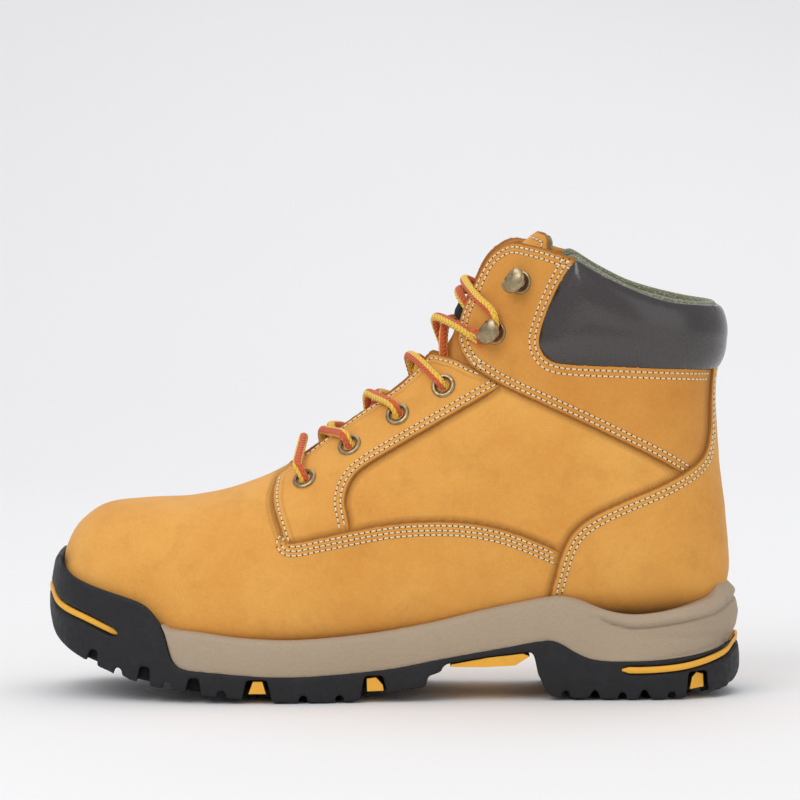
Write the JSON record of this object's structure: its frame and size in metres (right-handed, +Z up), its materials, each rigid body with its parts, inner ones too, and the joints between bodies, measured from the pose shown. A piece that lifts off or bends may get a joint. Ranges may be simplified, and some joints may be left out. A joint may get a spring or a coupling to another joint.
{
  "type": "steel toe work boot",
  "caption": "Left laced ankle-height steel toe work boot: wheat nubuck upper, padded collar, speed hooks, lugged sole with a moulded midsole and toe bumper.",
  "frame": {"origin": "centre of the bounding box, on the ground", "axes": "+Z up; -X towards the toe and +X towards the heel; -Y is the outer (lateral) side and +Y the inner (medial) side"},
  "size_m": [0.31, 0.11, 0.2056],
  "materials": {
    "outsole_rubber": "black moulded rubber, dull with fine texture on the walls",
    "midsole_foam": "taupe moulded polyurethane with a fine pebble",
    "accent_rubber": "yellow rubber, satin",
    "insole_board": "leatherboard, matt",
    "shank_steel": "stamped steel, dull",
    "footbed_foam": "foam under a flat dark textile",
    "toe_cap_steel": "pressed steel, lacquered",
    "counter_board": "thermoformed stiffener, matt",
    "lining_mesh": "grey-green spacer mesh",
    "nubuck": "wheat nubuck with a short nap and raw cut edges",
    "eyestay_nubuck": "wheat nubuck with a short nap",
    "ankle_nubuck": "wheat nubuck, slightly browner",
    "collar_leather": "dark brown to black smooth leather, glossy",
    "tongue_nubuck": "wheat nubuck",
    "antique_brass": "antique brass, satin",
    "lace_braid": "round yellow braid flecked with rust orange",
    "lace_tip": "clear film over the braid, glossy"
  },
  "bodies": {
    "boot": {"outsole": "outsole_rubber", "midsole": "midsole_foam", "toe_stripe": "accent_rubber", "heel_stripe": "accent_rubber", "arch_plate": "accent_rubber", "ball_inlay_front_lateral": "accent_rubber", "ball_inlay_front_medial": "accent_rubber", "ball_inlay_rear_lateral": "accent_rubber", "ball_inlay_rear_medial": "accent_rubber", "heel_inlay_lateral": "accent_rubber", "heel_inlay_medial": "accent_rubber", "insole_board": "insole_board", "steel_shank": "shank_steel", "steel_toe_cap": "toe_cap_steel", "heel_counter": "counter_board", "lining": "lining_mesh", "vamp": "nubuck", "heel_panel": "nubuck", "quarter_lateral": "nubuck", "quarter_medial": "nubuck", "eyestay_lateral": "eyestay_nubuck", "eyestay_medial": "eyestay_nubuck", "hookstay_lateral": "ankle_nubuck", "hookstay_medial": "ankle_nubuck", "collar_pad": "collar_leather", "eyelet_lateral_1": "antique_brass", "eyelet_lateral_2": "antique_brass", "eyelet_lateral_3": "antique_brass", "eyelet_lateral_4": "antique_brass", "eyelet_medial_1": "antique_brass", "eyelet_medial_2": "antique_brass", "eyelet_medial_3": "antique_brass", "eyelet_medial_4": "antique_brass", "speed_hook_lateral_1": "antique_brass", "speed_hook_lateral_2": "antique_brass", "speed_hook_medial_1": "antique_brass", "speed_hook_medial_2": "antique_brass", "hook_rivet_lateral_1": "antique_brass", "hook_rivet_lateral_2": "antique_brass", "hook_rivet_medial_1": "antique_brass", "hook_rivet_medial_2": "antique_brass", "lace": "lace_braid", "lace_tip_medial": "lace_tip", "lace_tip_lateral": "lace_tip"},
    "tongue": {"tongue_face": "tongue_nubuck", "tongue_lining": "lining_mesh"},
    "footbed": {"footbed": "footbed_foam"}
  },
  "joints": [
    {"name": "tongue_flex", "type": "hinge", "parent": "boot", "child": "tongue", "pos_m": [-0.044, -0.0015, 0.099], "axis": [0, 1, 0], "range_deg": [0, 2]},
    {"name": "footbed_lift", "type": "hinge", "parent": "boot", "child": "footbed", "pos_m": [-0.138, 0.008, 0.026], "axis": [0, -1, 0], "range_deg": [0, 5]}
  ]
}
